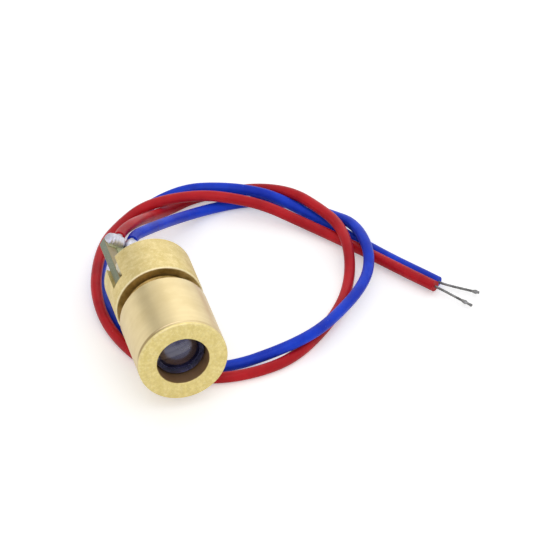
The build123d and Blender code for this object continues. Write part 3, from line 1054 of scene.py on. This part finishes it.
def make_rear_body():
    """The rear half: bored nose, flange, and the sawn slot that leaves two half-round jaws."""
    mouth_chamfer = 0.08
    nose_chamfer = 0.2
    relief_start = flange_front - 0.14
    relief_width = 0.1
    neck_radius = nose_core - 0.07
    flat_radius = barrel_radius - edge_round - 0.2
    side_row = 1.8
    profile = [
        (diode_bore, bore_end),
        (diode_bore, nose_front + mouth_chamfer),
        (diode_bore + mouth_chamfer, nose_front),
        (nose_core - nose_chamfer, nose_front),
        (nose_core, nose_front + nose_chamfer),
        (nose_core, relief_start),
        (neck_radius, flange_front - relief_width),
        (neck_radius, flange_front),
        (flat_radius, flange_front),
        *arc(barrel_radius - edge_round, flange_front + edge_round, edge_round, -90, 0),
        (barrel_radius, rear_end - side_row),
        *arc(barrel_radius - edge_round, rear_end - edge_round, edge_round, 0, 90),
        (diode_bore, rear_end),
    ]
    body = turn(profile)
    saw_length = 2.9
    saw_reach = 7.0
    saw_place = (0, slot_front + saw_length / 2, 0)
    saw = block(saw_place, (saw_reach, saw_length, slot_width), slot_tilt)
    finish_with(body, "BOOLEAN", operation="DIFFERENCE", object=saw, solver="EXACT")
    bpy.data.objects.remove(saw)
    settle(body, "rear_body_turned", rear_brass, "rear_body")


def make_focus_thread():
    """The fine thread on the nose: one tooth wound round the axis and cut off square."""
    first_tooth = nose_front - 0.4
    root_share = 0.94
    crest_share = 0.16
    turns = 9
    runout = 0.12
    middle_radius = (thread_root + thread_crest) / 2
    deselect()
    bpy.ops.mesh.primitive_plane_add(size=1, location=(middle_radius, first_tooth, 0))
    thread = bpy.context.object
    thread.scale = (thread_crest - thread_root, thread_pitch * root_share, 1)
    apply_place()
    bpy.ops.object.mode_set(mode="EDIT")
    pick(thread, "VERT", lambda place, item: place.x > middle_radius)
    crest = (thread_crest, first_tooth, 0)
    bpy.ops.transform.resize(value=(1, crest_share, 1), center_override=crest)
    bpy.ops.mesh.select_all(action="SELECT")
    bpy.ops.mesh.delete(type="ONLY_FACE")
    bpy.ops.object.mode_set(mode="OBJECT")
    finish_with(
        thread,
        "SCREW",
        axis="Y",
        angle=math.radians(360),
        screw_offset=thread_pitch,
        iterations=turns,
        steps=120,
        render_steps=120,
        use_merge_vertices=True,
    )
    hold(thread)
    bpy.ops.object.mode_set(mode="EDIT")
    close_up()
    trim(thread, (0, nose_front + runout, 0), (0, -1, 0))
    trim(thread, (0, flange_front - runout, 0), (0, 1, 0))
    settle(thread, "focus_thread", rear_brass, "rear_body", smooth_angle=25)


def make_lens():
    """One moulding: a steep front dome in a raised collar, a flat rim and a shallow back dome."""
    collar_top = front_wall - collar_height
    moat = 0.03
    moat_depth = 0.01
    wall_top = 0.16
    wall_top_drop = 0.04
    collar_inside = 0.19
    edge = 0.05
    lens_rim = lens_radius - lens_edge_break
    profile = [
        *dome(front_dome_radius, front_dome_foot, front_dome_height),
        (front_dome_radius + moat, front_dome_foot - moat_depth),
        (front_dome_radius + wall_top, collar_top + wall_top_drop),
        (front_dome_radius + collar_inside, collar_top),
        (collar_radius - edge, collar_top),
        (collar_radius, collar_top + edge),
        (collar_radius, front_wall),
        (lens_rim, front_wall),
        (lens_radius, front_wall + lens_edge_break),
        (lens_radius, lens_back - lens_edge_break),
        (lens_rim, lens_back),
        *reversed(dome(back_dome_radius, lens_back, -back_dome_height)),
    ]
    settle(turn(profile), "moulded_lens", lens_glass, "collimating_lens")


# Board, solder and glue, shaped flat and tilted with the slot


def make_board():
    """The board: rounded rear corners, a tongue at the front, and edges just broken."""
    near = 0.01
    middle = (0, (board_front + board_rear) / 2, (board_top + board_bottom) / 2)
    size = (2 * board_half_width, board_rear - board_front, board_top - board_bottom)
    board = block(middle, size)
    bpy.ops.object.mode_set(mode="EDIT")

    def upright_at_rear(place, item):
        height = abs(item.verts[0].co.z - item.verts[1].co.z)
        return place.y > board_rear - near and height > near

    pick(board, "EDGE", upright_at_rear)
    bpy.ops.mesh.bevel(offset=board_corner, segments=6, affect="EDGES")
    for side in (-1, 1):
        bpy.ops.mesh.select_all(action="SELECT")
        bpy.ops.mesh.bisect(plane_co=(side * tongue_half_width, 0, 0), plane_no=(1, 0, 0))

    def middle_of_front(place, item):
        return abs(place.x) < tongue_half_width and place.y < board_front + near

    pick(board, "FACE", middle_of_front)
    move = (0, tongue_front - board_front, 0)
    bpy.ops.mesh.extrude_region_move(TRANSFORM_OT_translate={"value": move})
    bpy.ops.object.mode_set(mode="OBJECT")
    finish_with(board, "BEVEL", width=board_edge_break, segments=2, limit_method="ANGLE")
    settle(board, "driver_board", board_laminate, "circuit_board", tilted=True)


def make_solder_joint(name, node, left, right, strand_exit, strand_end):
    """A bar of solder that has flowed along a pad and a little way up the stripped strands."""
    lobes = 5
    width, length, height = 0.7, 1.05, 1.24
    end_drop = 0.4
    blobs = []
    for lobe in range(lobes):
        share = lobe / (lobes - 1)
        swell = 1 - end_drop * (share - 0.5) ** 2
        place = (left + (right - left) * share, pad_middle, foil_top)
        blobs.append(ball(place, (width * swell, length * swell, height * swell)))
    start = Vector(strand_end)
    almost_out = start.lerp(Vector(strand_exit), 0.98)
    blobs.append(taper(start, almost_out, start_radius=0.23, end_radius=0.27))
    joint = melt(blobs, voxel=0.028, rounds=24)
    trim(joint, (0, 0, foil_top), (0, 0, -1))
    settle(joint, name, metals["solder"], node, smooth_angle=60, tilted=True)


def make_bead(name, node, side):
    """A squeezed line of glue between the board and the slot's upper wall, swollen at its end."""
    lobes = []
    for along, width, length in ((9.05, 0.5, 0.6), (9.4, 0.58, 0.7), (9.72, 0.52, 0.65)):
        place = (side * bead_place, along, bead_middle_height)
        lobes.append(ball(place, (width, length, 1.0)))
    bead = melt(lobes, voxel=0.03, rounds=4)
    trim(bead, (0, 0, board_top), (0, 0, -1))
    trim(bead, (0, 0, slot_width / 2), (0, 0, 1))
    settle(bead, name, adhesive, node, smooth_angle=60, tilted=True)


def make_floor():
    """A white floor that glows a little for the camera and in the brass, and keeps its shadow."""
    deselect()
    bpy.ops.mesh.primitive_plane_add(size=floor_size, location=(0, 0, cad_low.z))
    floor = bpy.context.object
    floor.name = "floor"
    material, tree, surface, place = new_material(
        "floor_white",
        Base_Color=(0.9, 0.9, 0.9, 1),
        Roughness=0.9,
        Emission_Color=(1, 1, 1, 1),
    )
    rays = put(tree, "LightPath", {}).outputs
    glow = times(tree, rays["Is Camera Ray"], floor_camera_glow)
    glow = plus(tree, glow, times(tree, rays["Is Glossy Ray"], floor_mirror_glow))
    feed(tree, surface, Emission_Strength=glow)
    floor.data.materials.append(material)


def make_sky():
    """A white sky with a soft gap between its lights and a violet cast behind the viewer."""
    world = bpy.data.worlds.new("room")
    bpy.context.scene.world = world
    world.use_nodes = True
    sky = world.node_tree
    background = sky.nodes["Background"]
    rays = put(sky, "LightPath", {}).outputs
    camera_ray, glossy_ray = rays["Is Camera Ray"], rays["Is Glossy Ray"]
    direction = put(sky, "TexCoord", {}).outputs["Generated"]
    gap = spread(sky, towards(sky, direction, gap_direction), 0.86, 0.985, 1.0, 0.5)
    lit = put(sky, "CombineColor", {0: gap, 1: gap, 2: gap}).outputs[0]
    behind = spread(sky, towards(sky, direction, violet_direction), 0.72, 0.92)
    lit = tint(sky, times(sky, behind, glossy_ray), lit, (0.85, 0.83, 1.1, 1))
    colour = tint(sky, camera_ray, lit, (1, 1, 1, 1))
    seen = maths(sky, "MAXIMUM", camera_ray, glossy_ray)
    seen = maths(sky, "MAXIMUM", seen, rays["Is Transmission Ray"])
    strength = spread(sky, seen, 0.0, 1.0, plain_sky_strength, 1.0)
    feed(sky, background, Color=colour, Strength=strength)


def make_lamps():
    """A large soft lamp behind the module and a smaller one in front."""
    for name, lamp in lamps.items():
        bpy.ops.object.light_add(type="AREA", location=lamp["place"])
        light = bpy.context.object
        light.name = name
        light.data.size = lamp["size"]
        light.data.energy = lamp["energy"]
        light.rotation_euler = (-Vector(lamp["place"])).to_track_quat("-Z", "Y").to_euler()


make_camera()
red_end = make_twisted_end("red_twisted_end", "red_bare_end", red_end_line, 0.82, 0.3, 2.0)
blue_end = make_twisted_end("blue_twisted_end", "blue_bare_end", blue_end_line, 0.92, 0.26, 1.0)
make_lead("red_insulation", "red_lead", red_route, red_vinyl)
make_lead("blue_insulation", "blue_lead", blue_route, blue_vinyl)

make_front_sleeve()
make_rear_body()
make_focus_thread()
make_lens()
make_board()
for name, node, left, right, strand_exit, strand_end in (
    ("red_solder_joint", "red_solder", -2.33, -1.51, (-1.5, 13.45, 0.31), (-1.88, 12.64, 0.27)),
    ("blue_solder_joint", "blue_solder", -0.84, -0.2, (-0.5, 13.45, 0.31), (-0.86, 12.64, 0.27)),
):
    make_solder_joint(name, node, left, right, strand_exit, strand_end)
make_bead("left_glue_bead", "left_adhesive_bead", -1)
make_bead("right_glue_bead", "right_adhesive_bead", 1)
make_floor()
make_sky()
make_lamps()

bpy.context.scene.view_settings.view_transform = "Standard"

bpy.context.view_layer.update()
